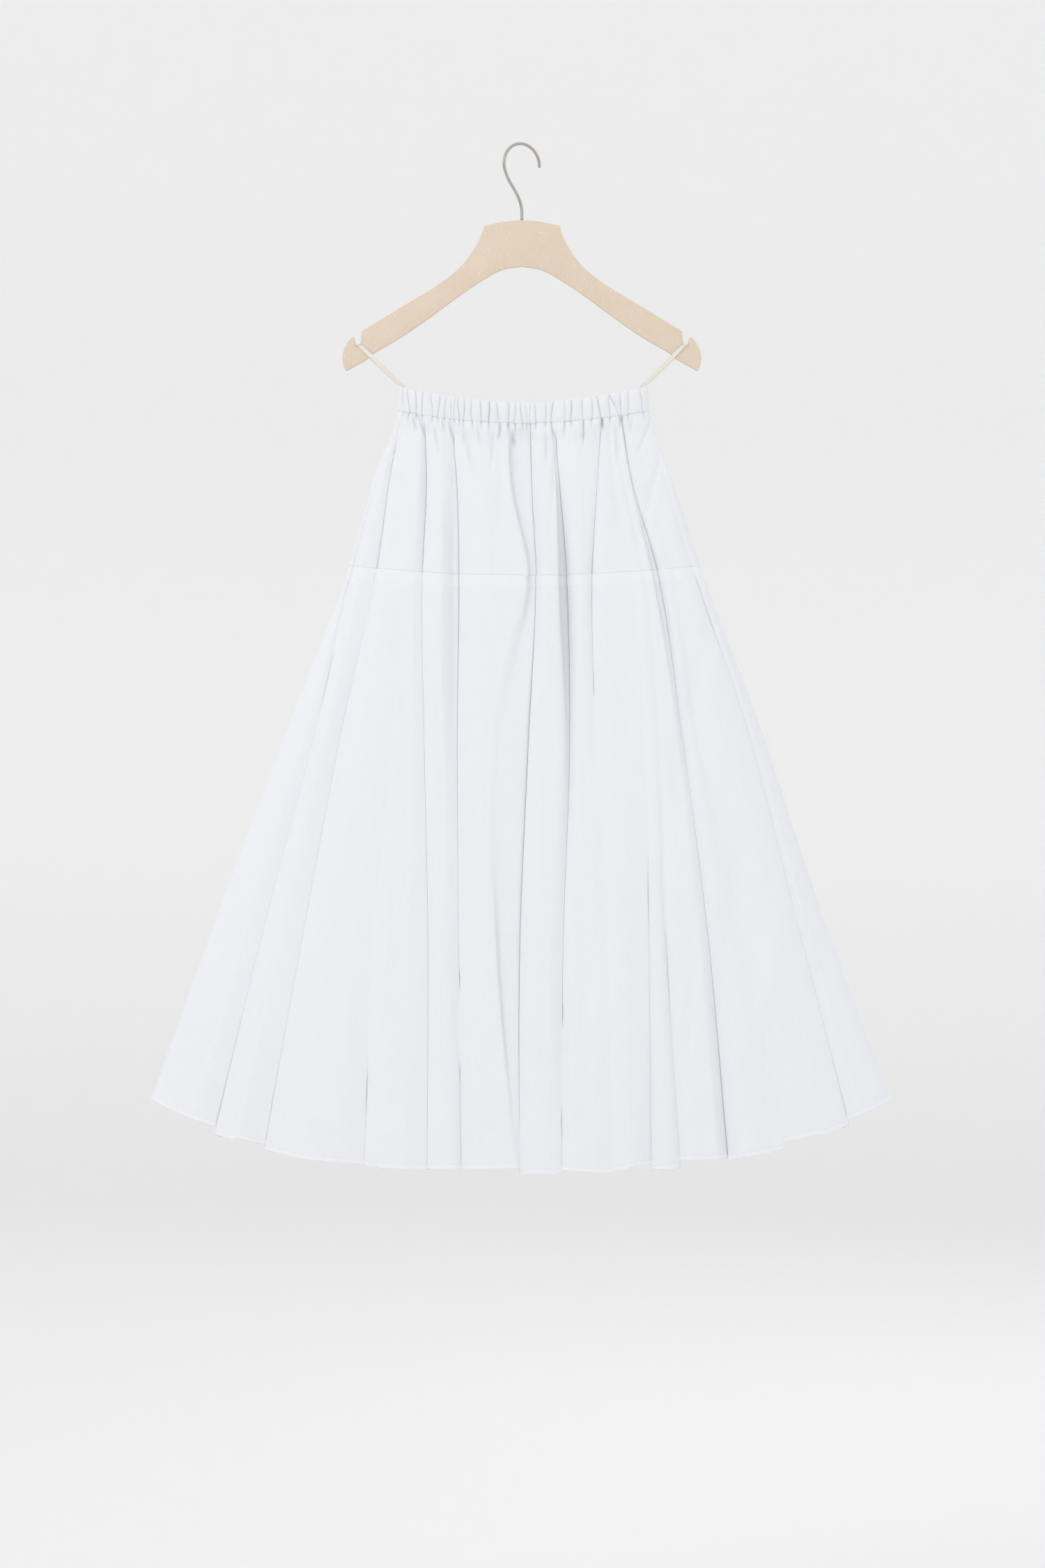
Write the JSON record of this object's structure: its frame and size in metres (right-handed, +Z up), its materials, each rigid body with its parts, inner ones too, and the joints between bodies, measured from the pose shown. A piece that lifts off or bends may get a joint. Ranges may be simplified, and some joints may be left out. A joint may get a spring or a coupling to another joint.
{
  "type": "maxi skirt on hanger",
  "caption": "Long flared skirt with a gathered elastic waist, hip yoke and deep loose folds, hung by two ribbon loops from a notched board hanger with a wire hook.",
  "frame": {"origin": "inside crown of the hanger's hook, where the rail carries it", "axes": "+Z up along the hanging length, -Y towards the front of the skirt, X across the hanger with X = 0 at its middle"},
  "size_m": [0.903, 0.132, 1.2507],
  "materials": {
    "cotton": "crisp plain-woven white cotton, matt, slightly cool",
    "ribbon": "cream satin ribbon with a soft sheen",
    "board": "pale beige fibreboard, matt with fine specks",
    "wire": "satin nickel"
  },
  "bodies": {
    "root": {"casing_front": "cotton", "casing_back": "cotton", "yoke_front": "cotton", "yoke_back": "cotton", "seam_strip_front": "cotton", "seam_strip_back": "cotton", "lower_panel_front": "cotton", "lower_panel_back": "cotton", "hanger_board": "board", "hanger_hook": "wire", "ribbon_loop_left": "ribbon", "ribbon_loop_right": "ribbon"}
  },
  "joints": []
}
